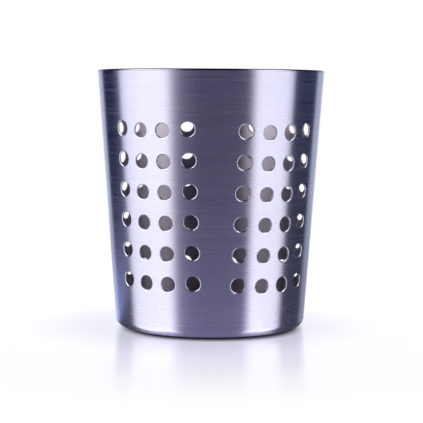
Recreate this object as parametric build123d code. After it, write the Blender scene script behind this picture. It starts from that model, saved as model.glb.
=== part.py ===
from build123d import *
import math
import os

# A free-standing cutlery stand: a tapered cup of thin stainless sheet, open at the top.
# The side wall is perforated in groups of round holes, its rim is folded in as a safe edge and
# its foot is turned in as a flange. A pressed, perforated base plate is spot-welded on that
# flange from above, and a soft foot ring is snapped round the flange's free edge from below.
# Millimetres and degrees. Z is up, the origin is the centre of the resting face, and the
# front of the stand looks towards -Y.

# Overall shape
total_height = 136.0
rim_diameter = 120.0
wall_lean = 4.25

# Side wall
wall_sheet = 0.5
hem_radius = 1.0
hem_depth = 6.0
foot_bend_radius = 4.5
flange_width = 12.0

# Holes in the side wall, in groups parted by plain lands
hole_diameter = 7.3
hole_rows = 6
hole_columns = 4
column_pitch = 13.2
top_row_below_rim = 31.3
bottom_row_above_floor = 27.1
row_bow = 0.9
group_rise = 0.5
weld_seam_angle = -72.0

# Each group's middle, in degrees round the wall from the front, and how many rises it is set above
# the even rows
hole_groups = ((-31.2, 1), (37.6, -1), (107.0, 0), (174.0, 0), (247.5, 0))

# Base plate
base_sheet = 0.8
plate_edge_clearance = 0.3
plate_raise = 4.0
plate_step_run = 3.0
plate_bend_radius = 1.2
drain_hole_diameter = 7.3
drain_pitch = 13.2
drain_rings = 2
weld_spots = 12
weld_spot_diameter = 3.0
weld_spot_depth = 0.1

# Foot ring
foot_drop = 0.5
ring_wall = 1.3
ring_lip_height = 0.8
ring_lip_width = 2.0
ring_edge_clearance = 0.2
ring_lip_clearance = 0.3

# Fixed by the sizes above
lean = math.radians(wall_lean)
flange_top = foot_drop + wall_sheet
hem_centre = (rim_diameter / 2 - hem_radius, total_height - hem_radius)


def wall_radius(height):
    """Radius of the side wall's outer face, at a height above the floor."""
    middle_of_hem, hem_height = hem_centre
    return middle_of_hem + hem_radius / math.cos(lean) + (height - hem_height) * math.tan(lean)


bend_height = foot_drop + foot_bend_radius
bend_centre = (wall_radius(bend_height) - foot_bend_radius / math.cos(lean), bend_height)
flange_edge_radius = bend_centre[0] - flange_width

ring_inner_radius = flange_edge_radius - ring_edge_clearance - ring_wall
ring_lip_radius = flange_edge_radius + ring_lip_width
ring_sole_radius = bend_centre[0]

plate_radius = bend_centre[0] - plate_edge_clearance
plate_land_radius = ring_lip_radius + ring_lip_clearance + plate_step_run


def point_on_circle(centre, radius, angle):
    """Point of the section plane, at an angle in radians from the outward direction."""
    return (centre[0] + radius * math.cos(angle), centre[1] + radius * math.sin(angle))


def turned(face):
    """Section drawn as radius and height, turned about the stand's axis into a ring or disc."""
    return revolve(Plane.XZ * face, axis=Axis.Z)


def wall_section():
    """Outer side of the folded sheet from the flange's free edge to the end of the hem, thickened."""
    quarter_turn = 90 - wall_lean
    hem_end = point_on_circle(hem_centre, hem_radius, math.pi - lean)
    leg_end = (hem_end[0] - hem_depth * math.sin(lean), hem_end[1] - hem_depth * math.cos(lean))
    flange = Line((flange_edge_radius, foot_drop), (bend_centre[0], foot_drop))
    bend = CenterArc(bend_centre, foot_bend_radius, -90, quarter_turn)
    side = Line(
        point_on_circle(bend_centre, foot_bend_radius, -lean),
        point_on_circle(hem_centre, hem_radius, -lean),
    )
    hem = CenterArc(hem_centre, hem_radius, -wall_lean, 180)
    leg = Line(hem_end, leg_end)
    outer_side = Wire([flange, bend, side, hem, leg])
    return make_face(outer_side.offset_2d(wall_sheet, side=Side.LEFT, closed=True))


def hole_cutter(group_middle, rises, column, row):
    """Punch for one hole, square to the wall. The holes were punched in the flat sheet, so the
    columns keep their pitch from top to bottom of the cone, and a row's ends rise a little."""
    rows_height = total_height - top_row_below_rim - bottom_row_above_floor
    row_height = total_height - top_row_below_rim - row * rows_height / (hole_rows - 1)
    half_row = (hole_columns - 1) / 2
    height = row_height + rises * group_rise + row_bow * ((column - half_row) / half_row) ** 2
    around = math.radians(group_middle) + (column - half_row) * column_pitch / wall_radius(row_height)
    outward = Vector(math.sin(around), -math.cos(around), 0)
    place = Plane(
        origin=outward * wall_radius(height) + Vector(0, 0, height),
        z_dir=outward * math.cos(lean) - Vector(0, 0, math.sin(lean)),
    )
    return place * Cylinder(hole_diameter / 2, 6 * wall_sheet)


def side_wall():
    sheet = Rot(0, 0, weld_seam_angle - 90) * turned(wall_section())
    cutters = [
        hole_cutter(group_middle, rises, column, row)
        for group_middle, rises in hole_groups
        for column in range(hole_columns)
        for row in range(hole_rows)
    ]
    return sheet - cutters


def plate_section():
    """Underside of the pressed disc from its centre to its edge, thickened upwards."""
    raised = flange_top + plate_raise
    underside = FilletPolyline(
        (0, raised),
        (plate_land_radius - plate_step_run, raised),
        (plate_land_radius, flange_top),
        (plate_radius, flange_top),
        radius=plate_bend_radius,
    )
    return make_face(Wire(underside.edges()).offset_2d(base_sheet, side=Side.LEFT, closed=True))


def drain_cutters():
    """One hole at the centre, then rings of six, twelve and so on round it."""
    cutter = Pos(0, 0, flange_top) * Cylinder(drain_hole_diameter / 2, 4 * (plate_raise + base_sheet))
    cutters = [cutter]
    for ring in range(1, drain_rings + 1):
        holes = 6 * ring
        cutters += [
            Rot(0, 0, hole * 360 / holes) * Pos(ring * drain_pitch, 0, 0) * cutter for hole in range(holes)
        ]
    return cutters


def weld_dents():
    """Shallow dents that the welding electrodes leave in the plate's outer land."""
    land_middle = (plate_land_radius + plate_radius) / 2
    land_top = flange_top + base_sheet
    dent = Pos(land_middle, 0, land_top) * Cylinder(weld_spot_diameter / 2, 2 * weld_spot_depth)
    return [Rot(0, 0, spot * 360 / weld_spots) * dent for spot in range(weld_spots)]


def base_plate():
    return turned(plate_section()) - drain_cutters() - weld_dents()


def foot_ring():
    """Ring with a groove that holds the flange's free edge: a wide sole below, a short lip above."""
    lip_top = flange_top + ring_lip_height
    groove_bottom = flange_edge_radius - ring_edge_clearance
    outline = Polyline(
        (ring_inner_radius, 0),
        (ring_sole_radius, 0),
        (ring_sole_radius, foot_drop),
        (groove_bottom, foot_drop),
        (groove_bottom, flange_top),
        (ring_lip_radius, flange_top),
        (ring_lip_radius, lip_top),
        (ring_inner_radius, lip_top),
        close=True,
    )
    return turned(make_face(outline))


pieces = {
    "side_wall": side_wall(),
    "base_plate": base_plate(),
    "foot_ring": foot_ring(),
}
os.makedirs("parts", exist_ok=True)
for name, piece in pieces.items():
    export_step(piece, f"parts/{name}.step")
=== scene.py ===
import math

import bmesh
import bpy
from bpy.props import FloatProperty, FloatVectorProperty, IntProperty, IntVectorProperty, PointerProperty
from mathutils import Matrix, Vector


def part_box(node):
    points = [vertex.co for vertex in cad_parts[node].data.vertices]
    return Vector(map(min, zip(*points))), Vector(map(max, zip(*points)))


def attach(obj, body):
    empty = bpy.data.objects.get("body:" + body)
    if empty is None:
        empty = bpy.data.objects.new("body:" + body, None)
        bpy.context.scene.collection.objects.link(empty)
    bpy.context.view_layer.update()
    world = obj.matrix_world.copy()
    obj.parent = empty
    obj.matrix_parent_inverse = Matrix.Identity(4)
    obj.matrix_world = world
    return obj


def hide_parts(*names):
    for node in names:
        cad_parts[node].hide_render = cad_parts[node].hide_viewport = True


bl_info = {
    "name": "Cutlery stand",
    "version": (1, 0, 0),
    "blender": (4, 5, 0),
    "location": "View3D > Sidebar > Cutlery stand",
    "description": "A tapered cup of perforated brushed steel, with its base plate and foot ring",
    "category": "Add Mesh",
}

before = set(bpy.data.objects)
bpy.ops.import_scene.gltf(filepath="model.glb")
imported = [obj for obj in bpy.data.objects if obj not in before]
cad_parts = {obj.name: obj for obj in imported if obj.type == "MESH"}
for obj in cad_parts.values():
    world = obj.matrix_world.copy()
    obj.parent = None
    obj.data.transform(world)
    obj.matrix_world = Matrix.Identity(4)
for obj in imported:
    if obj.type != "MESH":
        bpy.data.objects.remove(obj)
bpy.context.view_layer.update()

# Everything below is in metres and radians, unless its name or its comment says otherwise.
# Points closer than MERGE are one. The other two say how far from the cone a point still lies on it.
MERGE = 1e-7
ON_CONE = 1e-6
NEAR_CONE = 2e-6
# How finely the meshes are divided, and the distance of the edges that hold a bend's ends
HOLE_SIDES = 32
LIP_STEPS = 4
WALL_RINGS = 1
LAND_CUTS = 5
BEND_STEPS = 12
FLOOR_SIDES = 96
SUPPORT = 0.0005
# Edges sharper than this stay sharp, and normals whose product is over the second value agree
SHARP_ANGLE = math.radians(35)
AGREEING = 0.9
# Camera: width of the picture in pixels, width of the sensor in millimetres, nearest distance seen
PICTURE_PIXELS = 423
SENSOR_WIDTH = 36.0
CLIP_START = 0.01


class WallSettings(bpy.types.PropertyGroup):
    """Sizes and finish of the perforated side wall"""

    height: FloatProperty(
        name="Height", description="Top of the rim above the floor",
        default=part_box("side_wall")[1].z, unit="LENGTH",
    )
    rim_diameter: FloatProperty(
        name="Rim diameter", description="Outside of the folded rim",
        default=2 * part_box("side_wall")[1].x, unit="LENGTH",
    )
    foot_drop: FloatProperty(
        name="Foot drop", description="Underside of the flange above the floor",
        default=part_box("side_wall")[0].z, unit="LENGTH",
    )
    lean: FloatProperty(
        name="Lean", description="Angle of the wall from upright",
        default=math.radians(4.25), subtype="ANGLE",
    )
    sheet: FloatProperty(
        name="Sheet", description="Thickness of the steel", default=0.0005, unit="LENGTH",
    )
    hem_radius: FloatProperty(
        name="Hem radius", description="Outer radius of the fold at the rim", default=0.001, unit="LENGTH",
    )
    hem_depth: FloatProperty(
        name="Hem depth", description="Length of the folded-in leg", default=0.006, unit="LENGTH",
    )
    foot_bend_radius: FloatProperty(
        name="Foot bend radius", description="Outer radius of the bend at the foot",
        default=0.0045, unit="LENGTH",
    )
    flange_width: FloatProperty(
        name="Flange width", description="Flat width turned in under the base plate",
        default=0.012, unit="LENGTH",
    )
    hole_diameter: FloatProperty(
        name="Hole diameter", description="Clear bore of one punched hole", default=0.0073, unit="LENGTH",
    )
    lip_radius: FloatProperty(
        name="Lip radius", description="Rounding that the punch leaves round a hole",
        default=0.0006, unit="LENGTH",
    )
    rows: IntProperty(name="Rows", description="Holes up the wall", default=6, min=2)
    columns: IntProperty(name="Columns", description="Holes across one group", default=4, min=2)
    column_pitch: FloatProperty(
        name="Column pitch", description="Distance between columns, along the sheet",
        default=0.0132, unit="LENGTH",
    )
    top_row_below_rim: FloatProperty(
        name="Top row below rim", description="Middle of the top row under the rim's top",
        default=0.0313, unit="LENGTH",
    )
    bottom_row_above_floor: FloatProperty(
        name="Bottom row above floor", description="Middle of the bottom row over the floor",
        default=0.0271, unit="LENGTH",
    )
    row_bow: FloatProperty(
        name="Row bow", description="How much a row's ends rise over its middle",
        default=0.0009, unit="LENGTH",
    )
    group_rise: FloatProperty(
        name="Group rise", description="Step by which a group is set above or below the even rows",
        default=0.0005, unit="LENGTH",
    )
    group_middles: FloatVectorProperty(
        name="Group middles", description="Angle of each group from the front, towards +X",
        size=5, default=[math.radians(a) for a in (-31.2, 37.6, 107.0, 174.0, 247.5)], subtype="NONE",
    )
    group_rises: IntVectorProperty(
        name="Group rises", description="How many rises each group is set above the even rows",
        size=5, default=(1, -1, 0, 0, 0),
    )
    steel: FloatVectorProperty(
        name="Steel", description="Colour of the brushed steel", size=3,
        default=(0.60, 0.592, 0.67), min=0, max=1, subtype="COLOR",
    )
    # The inner steel is darker than the outer steel as painted shade inside the cup; its higher roughness
    # is the inside's own duller finish.
    inner_steel_painted_dark: FloatVectorProperty(
        name="Inner steel", description="Colour of the duller steel inside", size=3,
        default=(0.46, 0.435, 0.49), min=0, max=1, subtype="COLOR",
    )
    roughness: FloatProperty(
        name="Roughness", description="Mean roughness of the brushed steel",
        default=0.27, min=0, max=1, subtype="FACTOR",
    )
    inner_roughness: FloatProperty(
        name="Inner roughness", description="Mean roughness of the steel inside",
        default=0.33, min=0, max=1, subtype="FACTOR",
    )
    anisotropy: FloatProperty(
        name="Brushing", description="How much further highlights spread across the brushing than along it",
        default=0.9, min=0, max=1, subtype="FACTOR",
    )
    inner_anisotropy: FloatProperty(
        name="Inner brushing", description="The same for the steel inside",
        default=1.0, min=0, max=1, subtype="FACTOR",
    )
    # The rim's colour is darker than the wall's steel: painted shade for the dark line along the fold.
    rim_steel_painted_dark: FloatVectorProperty(
        name="Rim steel", description="Colour of the darker steel of the fold at the rim", size=3,
        default=(0.34, 0.33, 0.375), min=0, max=1, subtype="COLOR",
    )
    rim_roughness: FloatProperty(
        name="Rim roughness", description="Mean roughness of the polished fold at the rim",
        default=0.2, min=0, max=1, subtype="FACTOR",
    )


class PlateSettings(bpy.types.PropertyGroup):
    """Finish of the base plate"""

    steel: FloatVectorProperty(
        name="Steel", description="Colour of the satin steel", size=3,
        default=(0.58, 0.57, 0.60), min=0, max=1, subtype="COLOR",
    )
    roughness: FloatProperty(
        name="Roughness", description="Roughness of the satin steel",
        default=0.38, min=0, max=1, subtype="FACTOR",
    )


class RingSettings(bpy.types.PropertyGroup):
    """Finish of the soft foot ring"""

    rubber: FloatVectorProperty(
        name="Rubber", description="Colour of the rubber", size=3,
        default=(0.02, 0.02, 0.024), min=0, max=1, subtype="COLOR",
    )


class StageSettings(bpy.types.PropertyGroup):
    """Floor, studio light and camera"""

    floor_radius: FloatProperty(
        name="Floor radius", description="Size of the round floor", default=0.5, unit="LENGTH",
    )
    floor_colour: FloatVectorProperty(
        name="Floor colour", description="Colour of the glossy floor", size=3,
        default=(0.22, 0.22, 0.25), min=0, max=1, subtype="COLOR",
    )
    floor_glow: FloatVectorProperty(
        name="Floor glow", description="Colour of the light that the floor shows the camera", size=3,
        default=(0.60, 0.60, 0.69), min=0, max=1, subtype="COLOR",
    )
    floor_roughness: FloatProperty(
        name="Floor roughness", description="Roughness of the floor to the camera",
        default=0.17, min=0, max=1, subtype="FACTOR",
    )
    floor_ior: FloatProperty(
        name="Floor IOR", description="How strongly the floor mirrors to the camera", default=1.3, min=1,
    )
    distance: FloatProperty(
        name="Camera distance", description="Camera in front of the stand's axis",
        default=0.778, unit="LENGTH",
    )
    camera_height: FloatProperty(
        name="Camera height", description="Camera above the floor", default=0.1239, unit="LENGTH",
    )
    focal_pixels: FloatProperty(
        name="Focal length", description="Focal length in pixels of the picture", default=1461.0,
    )
    pitch: FloatProperty(
        name="Pitch", description="How far the camera looks down",
        default=math.radians(4.63), subtype="ANGLE",
    )
    roll: FloatProperty(
        name="Roll", description="Turn of the camera round its own axis",
        default=math.radians(0.316), subtype="ANGLE",
    )
    yaw: FloatProperty(
        name="Yaw", description="Turn of the camera towards +X",
        default=math.radians(0.045), subtype="ANGLE",
    )


def wall_radius(wall, height):
    """Radius of the wall's outer face at a height above the floor."""
    fold_middle = wall.rim_diameter / 2 - wall.hem_radius
    fold_height = wall.height - wall.hem_radius
    beside_fold = fold_middle + wall.hem_radius / math.cos(wall.lean)
    return beside_fold + (height - fold_height) * math.tan(wall.lean)


def arc(centre, radius, start, end, steps):
    """Points along an arc in the section plane, without its first one."""
    turns = [start + (end - start) * step / steps for step in range(1, steps + 1)]
    return [(centre[0] + radius * math.cos(turn), centre[1] + radius * math.sin(turn)) for turn in turns]


def grow(bm, edges):
    """Extrudes edges in place, in their own order, so that the mesh is the same each time. Gives the
    new vertices and the new edges along them."""
    twins = {}
    for vertex in (end for edge in edges for end in edge.verts):
        if vertex not in twins:
            twins[vertex] = bm.verts.new(vertex.co)
    along = []
    for edge in edges:
        first, second = edge.verts
        bm.faces.new((first, second, twins[second], twins[first]))
        along.append(bm.edges.get((twins[first], twins[second])))
    return list(twins.values()), along


def holed_cell(wall, lift, half_size):
    """One oblong of flat sheet with a round hole whose edge rolls in. Z is the way out of the wall."""
    bm = bmesh.new()
    place = Matrix.Translation((0, lift, 0))
    bore = wall.hole_diameter / 2
    mouth = bore + wall.lip_radius
    ring = bmesh.ops.create_circle(bm, segments=HOLE_SIDES, radius=mouth, matrix=place)["verts"]
    ring_edges = bm.edges[:]
    border, _ = grow(bm, ring_edges)
    for vertex in border:
        way = vertex.co.xy - place.translation.xy
        way /= max(abs(way.x), abs(way.y))
        vertex.co.xy = way * half_size
    spokes = [edge for vertex in ring for edge in vertex.link_edges if edge not in ring_edges]
    bmesh.ops.subdivide_edges(bm, edges=spokes, cuts=WALL_RINGS, use_grid_fill=True)
    radius, depth = mouth, 0.0
    edges = ring_edges
    for step in range(1, LIP_STEPS + 1):
        turn = math.pi / 2 * step / LIP_STEPS
        next_radius = bore + wall.lip_radius * (1 - math.sin(turn))
        next_depth = wall.lip_radius * (1 - math.cos(turn))
        verts, edges = grow(bm, edges)
        shrink = next_radius / radius
        bmesh.ops.scale(bm, vec=(shrink, shrink, 1), space=place.inverted(), verts=verts)
        bmesh.ops.translate(bm, vec=(0, 0, depth - next_depth), verts=verts)
        radius, depth = next_radius, next_depth
    return as_mesh(bm, "cell")


def as_mesh(bm, name):
    """Writes a bmesh to a new mesh and frees it."""
    mesh = bpy.data.meshes.new(name)
    bm.to_mesh(mesh)
    bm.free()
    return mesh


def hole_group(wall, middle, rises, half_cell):
    """One group of holes, laid on the cone with its middle line at an angle from the front."""
    bm = bmesh.new()
    half_row = (wall.columns - 1) / 2
    top_row = wall.height - wall.top_row_below_rim
    for column in range(wall.columns):
        lift = rises * wall.group_rise + wall.row_bow * ((column - half_row) / half_row) ** 2
        cell = holed_cell(wall, lift, half_cell)
        cell.transform(Matrix.Translation(((column - half_row) * 2 * half_cell.x, top_row, 0)))
        for _ in range(wall.rows):
            bm.from_mesh(cell)
            cell.transform(Matrix.Translation((0, -2 * half_cell.y, 0)))
        bpy.data.meshes.remove(cell)
    bmesh.ops.remove_doubles(bm, verts=bm.verts[:], dist=MERGE)
    for vertex in bm.verts:
        across, up, out = vertex.co
        turn = middle + across / wall_radius(wall, up)
        radius = wall_radius(wall, up) + out * math.cos(wall.lean)
        vertex.co = (radius * math.sin(turn), -radius * math.cos(turn), up - out * math.sin(wall.lean))
    return as_mesh(bm, "group")


def on_cone(wall, vertex):
    """Whether a vertex lies on the wall's outer face."""
    return abs(vertex.co.xy.length - wall_radius(wall, vertex.co.z)) < ON_CONE


def from_front(point):
    """Angle of a point round the stand's axis, from the front towards +X."""
    return math.atan2(point.x, -point.y)


def fill_lands(bm, wall):
    """Closes the plain lands between the groups of holes with sheet that follows the cone."""
    whole = 2 * math.pi
    upright = [
        edge for edge in bm.edges
        if edge.is_boundary and all(on_cone(wall, vertex) for vertex in edge.verts)
        and abs(edge.verts[0].co.z - edge.verts[1].co.z) > MERGE
    ]
    middles = list(wall.group_middles)
    for middle, following in zip(middles, middles[1:] + middles[:1]):
        span = (following - middle) % whole
        beside = [edge for edge in upright if (from_front(edge.verts[0].co) - middle) % whole < span]
        faces = bmesh.ops.bridge_loops(bm, edges=beside)["faces"]
        across = dict.fromkeys(edge for face in faces for edge in face.edges if edge not in beside)
        made = bmesh.ops.subdivide_edges(bm, edges=list(across), cuts=LAND_CUTS, use_grid_fill=True)
        for vertex in made["geom_inner"]:
            if isinstance(vertex, bmesh.types.BMVert):
                vertex.co.xy *= wall_radius(wall, vertex.co.z) / vertex.co.xy.length


def follow(bm, edges, section):
    """Carries a ring of edges along a section of radius and height points."""
    for radius, height in section:
        verts, edges = grow(bm, edges)
        start = verts[0].co.copy()
        widen = radius / start.xy.length
        bmesh.ops.scale(bm, vec=(widen, widen, 1), verts=verts)
        bmesh.ops.translate(bm, vec=(0, 0, height - start.z), verts=verts)


def ring_at(bm, height):
    """The open ring of edges at a height."""
    level = {vertex for vertex in bm.verts if abs(vertex.co.z - height) < MERGE}
    return [edge for edge in bm.edges if edge.is_boundary and level.issuperset(edge.verts)]


def put_in_order(bm):
    """Sorts the faces by their vertices, so that the mesh is the same each time."""
    bm.verts.index_update()
    ordered = sorted(bm.faces, key=lambda face: sorted(vertex.index for vertex in face.verts))
    places = {face: place for place, face in enumerate(ordered)}
    bm.faces.sort(key=places.get)


def rim_section(wall):
    """From the plain wall up round the fold and down its leg."""
    centre = (wall.rim_diameter / 2 - wall.hem_radius, wall.height - wall.hem_radius)
    lean = wall.lean
    start = (centre[0] + wall.hem_radius * math.cos(lean), centre[1] - wall.hem_radius * math.sin(lean))
    below = (wall_radius(wall, start[1] - SUPPORT), start[1] - SUPPORT)
    fold = arc(centre, wall.hem_radius, -lean, math.pi - lean, BEND_STEPS)
    leg = [
        (fold[-1][0] - reach * math.sin(lean), fold[-1][1] - reach * math.cos(lean))
        for reach in (SUPPORT, wall.hem_depth)
    ]
    return [below, start] + fold + leg


def foot_section(wall):
    """From the plain wall down round the foot bend and in along the flange."""
    lean = wall.lean
    height = wall.foot_drop + wall.foot_bend_radius
    centre = (wall_radius(wall, height) - wall.foot_bend_radius / math.cos(lean), height)
    start = (
        centre[0] + wall.foot_bend_radius * math.cos(lean),
        centre[1] - wall.foot_bend_radius * math.sin(lean),
    )
    above = (wall_radius(wall, start[1] + SUPPORT), start[1] + SUPPORT)
    bend = arc(centre, wall.foot_bend_radius, -lean, -math.pi / 2, BEND_STEPS)
    flange = [(bend[-1][0] - reach, wall.foot_drop) for reach in (SUPPORT, wall.flange_width)]
    return [above, start] + bend + flange


def exact_shading(mesh, wall):
    """Gives the smooth cone its true normals, so that holes don't ripple the reflections beside them."""
    mesh.set_sharp_from_angle(angle=SHARP_ANGLE)
    normals = [Vector(corner.vector) for corner in mesh.corner_normals]
    offset = wall.sheet / math.cos(wall.lean)
    for corner, loop in enumerate(mesh.loops):
        x, y, z = mesh.vertices[loop.vertex_index].co
        radius = math.hypot(x, y)
        level = math.cos(wall.lean) / radius
        out = Vector((x * level, y * level, -math.sin(wall.lean)))
        outer_radius = wall_radius(wall, z)
        for normal, face_radius in ((out, outer_radius), (-out, outer_radius - offset)):
            if abs(radius - face_radius) < NEAR_CONE and normals[corner].dot(normal) > AGREEING:
                normals[corner] = normal
    mesh.normals_split_custom_set(normals)


def finish_piece(bm, name, node, material):
    """Turns a finished bmesh into the object that stands for a CAD node."""
    mesh = as_mesh(bm, name)
    mesh.shade_smooth()
    mesh.materials.append(material)
    piece = bpy.data.objects.new(name, mesh)
    bpy.context.scene.collection.objects.link(piece)
    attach(piece, "root")
    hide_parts(node)
    return piece


def add_node(tree, kind, **values):
    """Adds a node and sets its properties, or the sockets that the values name."""
    node = tree.nodes.new(kind)
    for name, value in values.items():
        if hasattr(node, name):
            setattr(node, name, value)
        else:
            node.inputs[name.replace("_", " ")].default_value = value
    return node


def new_material(name):
    """A material with only a Principled shader and its output."""
    material = bpy.data.materials.new(name)
    material.use_nodes = True
    tree = material.node_tree
    return material, tree, tree.nodes["Principled BSDF"]


# Colour sockets of a mix node, below and above, and the place of its colour output
MIX_SIDES = (6, 7)
MIXED = 2
# How often the broad grain changes for one change of the fine grain, and the levels between which
# nearly all of a noise lies
BROAD_GRAIN = 0.13
NOISE_RANGE = (0.3, 0.7)
# Brushing of the wall: how often the grain changes in a metre along X, Y and Z, how far it shifts
# the steel's colour and roughness, and how strongly it is engraved. Its finest lines are dulled from
# one level of the grain upwards.
WALL_GRAIN = (30, 30, 2600)
COLOUR_SHIFT = 0.03
ROUGHNESS_SHIFT = 0.015
DULL_LEVEL = 0.30
DULLEST_METAL = 0.90
WALL_MARKS = 0.05
# Turn, in whole turns, that lays the highlights' spread across the brushing
QUARTER_TURN = 0.25
# Rolling marks of the base plate, as above, with the shares of its colour that they shift it between
PLATE_GRAIN = (40, 1800, 400)
PLATE_SHADES = (0.85, 1.1)
PLATE_MARKS = 0.2
# Deepest mark that either grain leaves in the steel
GRAIN_DEPTH = 0.00002
# Grain of the moulded rubber: speckles in a metre, and then as above
SPECKLES = 2500.0
RUBBER_SHADES = (0.7, 1.5)
RUBBER_ROUGHNESS = (0.55, 0.8)
RUBBER_MARKS = 0.3
SPECKLE_DEPTH = 0.00005


def brushed_grain():
    """Node group: streaks of fine brushing, long along two axes and fine along the third."""
    name = "brushed grain"
    if name in bpy.data.node_groups:
        return bpy.data.node_groups[name]
    tree = bpy.data.node_groups.new(name, "ShaderNodeTree")
    tree.interface.new_socket("Vector", in_out="INPUT", socket_type="NodeSocketVector")
    tree.interface.new_socket("Fine", in_out="OUTPUT", socket_type="NodeSocketFloat")
    tree.interface.new_socket("Broad", in_out="OUTPUT", socket_type="NodeSocketFloat")
    inside = add_node(tree, "NodeGroupInput")
    outside = add_node(tree, "NodeGroupOutput")
    fine = add_node(tree, "ShaderNodeTexNoise", Scale=1.0, Detail=2.0, Roughness=0.6)
    broad = add_node(tree, "ShaderNodeTexNoise", Scale=BROAD_GRAIN, Detail=2.0, Roughness=0.5)
    tree.links.new(inside.outputs["Vector"], fine.inputs["Vector"])
    tree.links.new(inside.outputs["Vector"], broad.inputs["Vector"])
    for noise, output in ((fine, "Fine"), (broad, "Broad")):
        spread = add_node(tree, "ShaderNodeMapRange")
        for end, level in zip(("From Min", "From Max"), NOISE_RANGE):
            spread.inputs[end].default_value = level
        tree.links.new(noise.outputs["Fac"], spread.inputs["Value"])
        tree.links.new(spread.outputs["Result"], outside.inputs[output])
    return tree


def shades_of(tree, colour, shares, level):
    """Colour that a socket shifts between two shares of itself."""
    mix = add_node(tree, "ShaderNodeMix", data_type="RGBA")
    for side, share in zip(MIX_SIDES, shares):
        mix.inputs[side].default_value = [share * channel for channel in colour] + [1]
    tree.links.new(level, mix.inputs["Factor"])
    return mix.outputs[MIXED]


def spread_between(tree, value, ends, start=0.0):
    """Value that goes from one end to the other while a socket goes from the start to 1."""
    spread = add_node(tree, "ShaderNodeMapRange")
    spread.inputs["From Min"].default_value = start
    spread.inputs["To Min"].default_value, spread.inputs["To Max"].default_value = ends
    tree.links.new(value, spread.inputs["Value"])
    return spread.outputs["Result"]


def engrave(tree, shader, height, strength, depth):
    """Bumps the shader's surface by a socket."""
    bump = add_node(tree, "ShaderNodeBump", Strength=strength, Distance=depth)
    tree.links.new(height, bump.inputs["Height"])
    tree.links.new(bump.outputs["Normal"], shader.inputs["Normal"])


def shifted(middle, shift):
    """Values on both sides of a middle one."""
    return (middle - shift, middle + shift)


def grain_of(tree, scale):
    """Brushed grain laid over the object at a scale along each axis."""
    place = add_node(tree, "ShaderNodeTexCoord")
    along = add_node(tree, "ShaderNodeMapping", Scale=scale)
    tree.links.new(place.outputs["Object"], along.inputs["Vector"])
    grain = add_node(tree, "ShaderNodeGroup", node_tree=brushed_grain())
    tree.links.new(along.outputs["Vector"], grain.inputs["Vector"])
    return grain


def wall_steel(name, steel, roughness, anisotropy):
    """Steel brushed round the cup."""
    material, tree, shader = new_material(name)
    shader.inputs["Anisotropic"].default_value = anisotropy
    shader.inputs["Anisotropic Rotation"].default_value = QUARTER_TURN
    grain = grain_of(tree, WALL_GRAIN)
    fine = grain.outputs["Fine"]
    tree.links.new(shades_of(tree, steel, shifted(1, COLOUR_SHIFT), fine), shader.inputs["Base Color"])
    metal = spread_between(tree, fine, (1.0, DULLEST_METAL), DULL_LEVEL)
    tree.links.new(metal, shader.inputs["Metallic"])
    rough = spread_between(tree, grain.outputs["Broad"], shifted(roughness, ROUGHNESS_SHIFT))
    tree.links.new(rough, shader.inputs["Roughness"])
    engrave(tree, shader, fine, WALL_MARKS, GRAIN_DEPTH)
    return material


def rim_steel_painted_dark(wall):
    """Steel of the fold at the rim, polished so that it is smooth to the hand. Its colour is darkened as
    painted shade, for the dark line along the fold.
    """
    material, tree, shader = new_material("rim_steel_painted_dark")
    shader.inputs["Metallic"].default_value = 1.0
    fine = grain_of(tree, WALL_GRAIN).outputs["Fine"]
    colour = shades_of(tree, wall.rim_steel_painted_dark, shifted(1, COLOUR_SHIFT), fine)
    tree.links.new(colour, shader.inputs["Base Color"])
    rough = spread_between(tree, fine, shifted(wall.rim_roughness, ROUGHNESS_SHIFT))
    tree.links.new(rough, shader.inputs["Roughness"])
    return material


def plate_steel(plate):
    """Satin steel with its rolling marks along X."""
    material, tree, shader = new_material("plate_steel")
    shader.inputs["Metallic"].default_value = 1.0
    shader.inputs["Roughness"].default_value = plate.roughness
    fine = grain_of(tree, PLATE_GRAIN).outputs["Fine"]
    tree.links.new(shades_of(tree, plate.steel, PLATE_SHADES, fine), shader.inputs["Base Color"])
    engrave(tree, shader, fine, PLATE_MARKS, GRAIN_DEPTH)
    return material


def foot_rubber(ring):
    """Matt moulded rubber with a fine grain."""
    material, tree, shader = new_material("foot_rubber")
    place = add_node(tree, "ShaderNodeTexCoord")
    noise = add_node(tree, "ShaderNodeTexNoise", Scale=SPECKLES, Detail=3.0)
    tree.links.new(place.outputs["Object"], noise.inputs["Vector"])
    speckle = noise.outputs["Fac"]
    tree.links.new(shades_of(tree, ring.rubber, RUBBER_SHADES, speckle), shader.inputs["Base Color"])
    tree.links.new(spread_between(tree, speckle, RUBBER_ROUGHNESS), shader.inputs["Roughness"])
    engrave(tree, shader, speckle, RUBBER_MARKS, SPECKLE_DEPTH)
    return material


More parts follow.
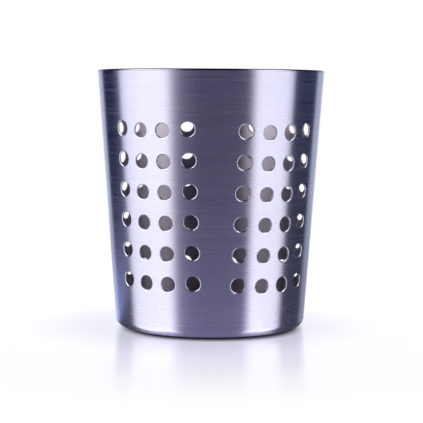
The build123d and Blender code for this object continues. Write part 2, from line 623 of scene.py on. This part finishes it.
class BuildWall(bpy.types.Operator):
    """Build the perforated side wall with its folded rim and turned-in foot"""

    bl_idname = "cutlery_stand.side_wall"
    bl_label = "Side wall"

    def execute(self, context):
        wall = context.scene.stand_wall
        bm = bmesh.new()
        rows_height = wall.height - wall.top_row_below_rim - wall.bottom_row_above_floor
        half_cell = Vector((wall.column_pitch / 2, rows_height / (wall.rows - 1) / 2))
        for middle, rises in zip(wall.group_middles, wall.group_rises):
            group = hole_group(wall, middle, rises, half_cell)
            bm.from_mesh(group)
            bpy.data.meshes.remove(group)
        fill_lands(bm, wall)
        bmesh.ops.remove_doubles(bm, verts=bm.verts[:], dist=MERGE)
        top = wall.height - wall.top_row_below_rim + half_cell.y
        bottom = wall.bottom_row_above_floor - half_cell.y
        follow(bm, ring_at(bm, top), rim_section(wall))
        follow(bm, ring_at(bm, bottom), foot_section(wall))
        bmesh.ops.recalc_face_normals(bm, faces=bm.faces[:])
        outer_faces = len(bm.faces)
        bmesh.ops.solidify(bm, geom=bm.faces[:], thickness=wall.sheet)
        for face in bm.faces[outer_faces:]:
            face.material_index = 1
        # The fold's faces take the rim steel, whose darker colour is painted shade.
        fold_start = wall.height - wall.hem_radius * (1 + math.sin(wall.lean))
        for face in bm.faces[:outer_faces]:
            if all(vertex.co.z > fold_start - MERGE for vertex in face.verts):
                face.material_index = 2
        put_in_order(bm)
        brushed = wall_steel("wall_steel", wall.steel, wall.roughness, wall.anisotropy)
        piece = finish_piece(bm, "perforated_wall", "side_wall", brushed)
        # The inside takes the duller steel, whose darker colour is painted shade inside the cup.
        duller = wall_steel(
            "inner_wall_steel_painted_dark", wall.inner_steel_painted_dark, wall.inner_roughness, wall.inner_anisotropy,
        )
        piece.data.materials.append(duller)
        piece.data.materials.append(rim_steel_painted_dark(wall))
        exact_shading(piece.data, wall)
        return {"FINISHED"}


class FinishPlate(bpy.types.Operator):
    """Give the base plate its satin steel"""

    bl_idname = "cutlery_stand.base_plate"
    bl_label = "Base plate"

    def execute(self, context):
        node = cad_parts["base_plate"]
        node.data.materials.clear()
        node.data.materials.append(plate_steel(context.scene.stand_plate))
        return {"FINISHED"}


class FinishRing(bpy.types.Operator):
    """Give the foot ring its rubber"""

    bl_idname = "cutlery_stand.foot_ring"
    bl_label = "Foot ring"

    def execute(self, context):
        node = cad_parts["foot_ring"]
        node.data.materials.clear()
        node.data.materials.append(foot_rubber(context.scene.stand_ring))
        return {"FINISHED"}


# Light of the studio round the stand: degrees from the front towards +X, then the light's colour.
# A dim room faces the front. At each side stand soft boxes, then a dark flag, and white screens
# stand behind. Only the soft boxes reach up overhead, under a dark ceiling.
WHITE_SCREEN = (1.12, 1.12, 1.15)
LEFT_SCREEN_EDGE = (0.60, 0.66, 0.85)
RIGHT_SCREEN_EDGE = (0.52, 0.56, 0.72)
SOFT_BOX = (1.27, 1.31, 1.43)
RIGHT_BOX = (1.12, 1.15, 1.30)
OUTER_BOX = (1.12, 1.16, 1.38)
HIGH_BOX = (3.6, 3.45, 3.65)
BOX_EDGE = (0.60, 0.55, 0.74)
ROOM_EDGE = (0.23, 0.22, 0.36)
DIM_ROOM = (0.100, 0.094, 0.19)
LEFT_FLAG = (0.004, 0.010, 0.06)
FLAG_EDGE = (0.065, 0.075, 0.17)
RIGHT_FLAG = (0.026, 0.034, 0.10)
DARK_CEILING = (0.008, 0.007, 0.008)
AROUND = (
    (-180, WHITE_SCREEN), (-165, WHITE_SCREEN), (-160, LEFT_SCREEN_EDGE), (-146, LEFT_SCREEN_EDGE),
    (-143, LEFT_FLAG), (-122, LEFT_FLAG), (-108, FLAG_EDGE), (-105, OUTER_BOX), (-80, SOFT_BOX),
    (-46, SOFT_BOX), (-39, BOX_EDGE), (-29, ROOM_EDGE), (-12, DIM_ROOM), (39, DIM_ROOM), (44, BOX_EDGE),
    (50, RIGHT_BOX), (70, RIGHT_BOX), (91.5, OUTER_BOX), (94.5, RIGHT_FLAG), (136, RIGHT_FLAG),
    (139, RIGHT_SCREEN_EDGE), (160, RIGHT_SCREEN_EDGE), (165, WHITE_SCREEN), (180, WHITE_SCREEN),
)
OVERHEAD = (
    (-180, DARK_CEILING), (-107, DARK_CEILING), (-104, HIGH_BOX), (-50, HIGH_BOX), (-38, DARK_CEILING),
    (44, DARK_CEILING), (51, HIGH_BOX), (91, HIGH_BOX), (94, DARK_CEILING), (180, DARK_CEILING),
)
# Light that the near floor throws back to the steel
PALE_LEFT = (0.30, 0.34, 0.62)
PALE_FRONT = (0.17, 0.165, 0.30)
DIM_SIDE = (0.03, 0.03, 0.05)
THROWN = (
    (-180, DIM_SIDE), (-170, DIM_SIDE), (-135, PALE_LEFT), (-101, PALE_LEFT), (-88, DIM_SIDE),
    (-46, DIM_SIDE), (-28, PALE_FRONT), (37, PALE_FRONT), (50, DIM_SIDE), (180, DIM_SIDE),
)
# Sines of the elevations over which one sky gives way to the next
TO_OVERHEAD = (0.12, 0.40)
TO_CEILING = (0.7, 0.85)
# The foot's shade falls to the front and a little to the right. Distances from its middle over which
# the floor comes out of it, as the camera and as the steel sees it
SHADE_MIDDLE = (0.001, -0.007, 0)
FOOT_SHADE = (0.0415, 0.0510)
SHADE_IN_STEEL = (0.0360, 0.0440)
# A soft shade lies further out, a little to the left, and takes some of the floor's glow
SOFT_SHADE_MIDDLE = (-0.008, -0.003, 0)
SOFT_SHADE = (0.045, 0.100)
SOFT_SHADE_LIGHT = 0.76
# Mirror that the steel sees in the floor, and its share of the floor
MIRROR_COLOUR = (0.71, 0.71, 0.735)
MIRROR_ROUGHNESS = 0.1
MIRROR_SHARE = 0.75
# Distances from the stand's axis over which the floor fades to white and throws back less light
FLOOR_FADE = (0.075, 0.22)
THROW_FADE = (0.08, 0.40)


def fill_ramp(ramp, stops):
    """Sets a colour ramp's stops from places between 0 and 1 and their colours."""
    while len(ramp.elements) > 1:
        ramp.elements.remove(ramp.elements[0])
    for number, (place, colour) in enumerate(stops):
        stop = ramp.elements[0] if number == 0 else ramp.elements.new(place)
        stop.position = place
        stop.color = (*colour, 1)


def smooth_step(tree, value, start, end):
    """Value that rises smoothly from 0 to 1 between two values of a socket."""
    step = add_node(tree, "ShaderNodeMapRange", interpolation_type="SMOOTHSTEP")
    step.inputs["From Min"].default_value = start
    step.inputs["From Max"].default_value = end
    tree.links.new(value, step.inputs["Value"])
    return step.outputs["Result"]


def blend_by_height(tree, height, span, below, above):
    """Colour that goes from one sky to another over a span of heights."""
    mix = add_node(tree, "ShaderNodeMix", data_type="RGBA")
    tree.links.new(smooth_step(tree, height, *span), mix.inputs["Factor"])
    for side, sky in zip(MIX_SIDES, (below, above)):
        tree.links.new(sky, mix.inputs[side])
    return mix.outputs[MIXED]


def round_the_stand(tree, parts, stops):
    """Colour by the angle from the front towards +X of a vector that is parted into X, Y and Z."""
    back = add_node(tree, "ShaderNodeMath", operation="MULTIPLY")
    back.inputs[1].default_value = -1.0
    tree.links.new(parts.outputs["Y"], back.inputs[0])
    turn = add_node(tree, "ShaderNodeMath", operation="ARCTAN2")
    tree.links.new(parts.outputs["X"], turn.inputs[0])
    tree.links.new(back.outputs[0], turn.inputs[1])
    share = add_node(tree, "ShaderNodeMapRange")
    share.inputs["From Min"].default_value = -math.pi
    share.inputs["From Max"].default_value = math.pi
    tree.links.new(turn.outputs[0], share.inputs["Value"])
    bands = add_node(tree, "ShaderNodeValToRGB")
    fill_ramp(bands.color_ramp, [(angle / 360 + 0.5, colour) for angle, colour in stops])
    tree.links.new(share.outputs["Result"], bands.inputs["Fac"])
    return bands.outputs["Color"]


def studio_light():
    """World whose light goes round the stand in upright bands, and is white to the camera."""
    world = bpy.data.worlds.new("studio")
    bpy.context.scene.world = world
    world.use_nodes = True
    tree = world.node_tree
    tree.nodes.clear()
    way = add_node(tree, "ShaderNodeTexCoord")
    parts = add_node(tree, "ShaderNodeSeparateXYZ")
    tree.links.new(way.outputs["Generated"], parts.inputs["Vector"])
    skies = [round_the_stand(tree, parts, stops) for stops in (AROUND, OVERHEAD)]
    raised = blend_by_height(tree, parts.outputs["Z"], TO_OVERHEAD, *skies)
    ceiling = add_node(tree, "ShaderNodeRGB")
    ceiling.outputs[0].default_value = (*DARK_CEILING, 1)
    sky = blend_by_height(tree, parts.outputs["Z"], TO_CEILING, raised, ceiling.outputs[0])
    lamp = add_node(tree, "ShaderNodeBackground", Strength=1.0)
    tree.links.new(sky, lamp.inputs["Color"])
    white = add_node(tree, "ShaderNodeBackground", Strength=1.0)
    white.inputs["Color"].default_value = (1, 1, 1, 1)
    path = add_node(tree, "ShaderNodeLightPath")
    choose = add_node(tree, "ShaderNodeMixShader")
    out = add_node(tree, "ShaderNodeOutputWorld")
    tree.links.new(path.outputs["Is Camera Ray"], choose.inputs["Fac"])
    tree.links.new(lamp.outputs[0], choose.inputs[1])
    tree.links.new(white.outputs[0], choose.inputs[2])
    tree.links.new(choose.outputs[0], out.inputs["Surface"])


def times(tree, first, second):
    """Product of two sockets."""
    product = add_node(tree, "ShaderNodeMath", operation="MULTIPLY")
    tree.links.new(first, product.inputs[0])
    tree.links.new(second, product.inputs[1])
    return product.outputs[0]


def distance_from(tree, vector, middle):
    """How far a vector socket lies from a point."""
    span = add_node(tree, "ShaderNodeVectorMath", operation="DISTANCE")
    span.inputs[1].default_value = middle
    tree.links.new(vector, span.inputs[0])
    return span.outputs["Value"]


def floor_gloss(stage):
    """Pale polished floor. To the camera it glows softly outside the stand's foot, and fades to
    white further out. To the steel it is more of a mirror."""
    material, tree, shader = new_material("floor_gloss")
    shader.inputs["Base Color"].default_value = (*stage.floor_colour, 1)
    shader.inputs["Roughness"].default_value = stage.floor_roughness
    shader.inputs["IOR"].default_value = stage.floor_ior
    shader.inputs["Emission Color"].default_value = (*stage.floor_glow, 1)
    path = add_node(tree, "ShaderNodeLightPath")
    place = add_node(tree, "ShaderNodeTexCoord")
    spot = place.outputs["Object"]
    reach = distance_from(tree, spot, (0, 0, 0))
    from_shade = distance_from(tree, spot, SHADE_MIDDLE)
    outside = smooth_step(tree, from_shade, *FOOT_SHADE)
    further = smooth_step(tree, distance_from(tree, spot, SOFT_SHADE_MIDDLE), *SOFT_SHADE)
    glow = times(tree, outside, spread_between(tree, further, (SOFT_SHADE_LIGHT, 1.0)))
    tree.links.new(times(tree, path.outputs["Is Camera Ray"], glow), shader.inputs["Emission Strength"])
    mirror = add_node(tree, "ShaderNodeBsdfGlossy", Roughness=MIRROR_ROUGHNESS)
    mirror.inputs["Color"].default_value = (*MIRROR_COLOUR, 1)
    share = add_node(tree, "ShaderNodeMath", operation="MULTIPLY")
    share.inputs[1].default_value = MIRROR_SHARE
    tree.links.new(path.outputs["Is Glossy Ray"], share.inputs[0])
    polished = add_node(tree, "ShaderNodeMixShader")
    tree.links.new(share.outputs[0], polished.inputs["Fac"])
    tree.links.new(shader.outputs[0], polished.inputs[1])
    tree.links.new(mirror.outputs[0], polished.inputs[2])
    parts = add_node(tree, "ShaderNodeSeparateXYZ")
    tree.links.new(spot, parts.inputs["Vector"])
    thrown = add_node(tree, "ShaderNodeEmission")
    tree.links.new(round_the_stand(tree, parts, THROWN), thrown.inputs["Color"])
    near = smooth_step(tree, reach, *reversed(THROW_FADE))
    unshaded = smooth_step(tree, from_shade, *SHADE_IN_STEEL)
    seen_in_steel = times(tree, path.outputs["Is Glossy Ray"], times(tree, near, unshaded))
    tree.links.new(seen_in_steel, thrown.inputs["Strength"])
    lit = add_node(tree, "ShaderNodeAddShader")
    tree.links.new(polished.outputs[0], lit.inputs[0])
    tree.links.new(thrown.outputs[0], lit.inputs[1])
    white = add_node(tree, "ShaderNodeEmission", Strength=1.0)
    white.inputs["Color"].default_value = (1, 1, 1, 1)
    faded = add_node(tree, "ShaderNodeMixShader")
    far = smooth_step(tree, reach, *FLOOR_FADE)
    tree.links.new(times(tree, path.outputs["Is Camera Ray"], far), faded.inputs["Fac"])
    tree.links.new(lit.outputs[0], faded.inputs[1])
    tree.links.new(white.outputs[0], faded.inputs[2])
    tree.links.new(faded.outputs[0], tree.nodes["Material Output"].inputs["Surface"])
    return material


def build_floor(stage):
    """The round floor that the stand rests on."""
    bm = bmesh.new()
    bmesh.ops.create_circle(bm, cap_ends=True, segments=FLOOR_SIDES, radius=stage.floor_radius)
    bmesh.ops.recalc_face_normals(bm, faces=bm.faces[:])
    mesh = as_mesh(bm, "floor")
    mesh.materials.append(floor_gloss(stage))
    floor = bpy.data.objects.new("floor", mesh)
    bpy.context.scene.collection.objects.link(floor)


def place_camera(stage):
    """The photographer's camera, a little above the stand's middle and looking slightly down."""
    data = bpy.data.cameras.new("camera")
    data.sensor_width = SENSOR_WIDTH
    data.lens = stage.focal_pixels * SENSOR_WIDTH / PICTURE_PIXELS
    data.clip_start = CLIP_START
    camera = bpy.data.objects.new("camera", data)
    bpy.context.scene.collection.objects.link(camera)
    turned = Matrix.Rotation(-stage.yaw, 4, "Z") @ Matrix.Rotation(math.pi / 2 - stage.pitch, 4, "X")
    turned = turned @ Matrix.Rotation(stage.roll, 4, "Z")
    camera.matrix_world = Matrix.Translation((0, -stage.distance, stage.camera_height)) @ turned
    bpy.context.scene.camera = camera


class BuildStage(bpy.types.Operator):
    """Set up the floor, the studio light and the camera"""

    bl_idname = "cutlery_stand.stage"
    bl_label = "Stage"

    def execute(self, context):
        stage = context.scene.stand_stage
        studio_light()
        build_floor(stage)
        place_camera(stage)
        context.scene.view_settings.view_transform = "Standard"
        return {"FINISHED"}


class StandPanel(bpy.types.Panel):
    """Lists the settings and the steps that build the stand"""

    bl_idname = "VIEW3D_PT_cutlery_stand"
    bl_label = "Cutlery stand"
    bl_space_type = "VIEW_3D"
    bl_region_type = "UI"
    bl_category = "Cutlery stand"

    def draw(self, context):
        for group, operator in PARTS:
            box = self.layout.box()
            settings = getattr(context.scene, group)
            for name in settings.__annotations__:
                box.prop(settings, name)
            box.operator(operator.bl_idname)


GROUPS = {
    "stand_wall": WallSettings,
    "stand_plate": PlateSettings,
    "stand_ring": RingSettings,
    "stand_stage": StageSettings,
}
PARTS = (
    ("stand_wall", BuildWall),
    ("stand_plate", FinishPlate),
    ("stand_ring", FinishRing),
    ("stand_stage", BuildStage),
)
CLASSES = (*GROUPS.values(), *(operator for _, operator in PARTS), StandPanel)


def register():
    for cls in CLASSES:
        bpy.utils.register_class(cls)
    for name, group in GROUPS.items():
        setattr(bpy.types.Scene, name, PointerProperty(type=group))


def unregister():
    for name in GROUPS:
        delattr(bpy.types.Scene, name)
    for cls in reversed(CLASSES):
        bpy.utils.unregister_class(cls)


def main():
    register()
    bpy.ops.cutlery_stand.side_wall()
    bpy.ops.cutlery_stand.base_plate()
    bpy.ops.cutlery_stand.foot_ring()
    bpy.ops.cutlery_stand.stage()


if __name__ == "__main__":
    main()
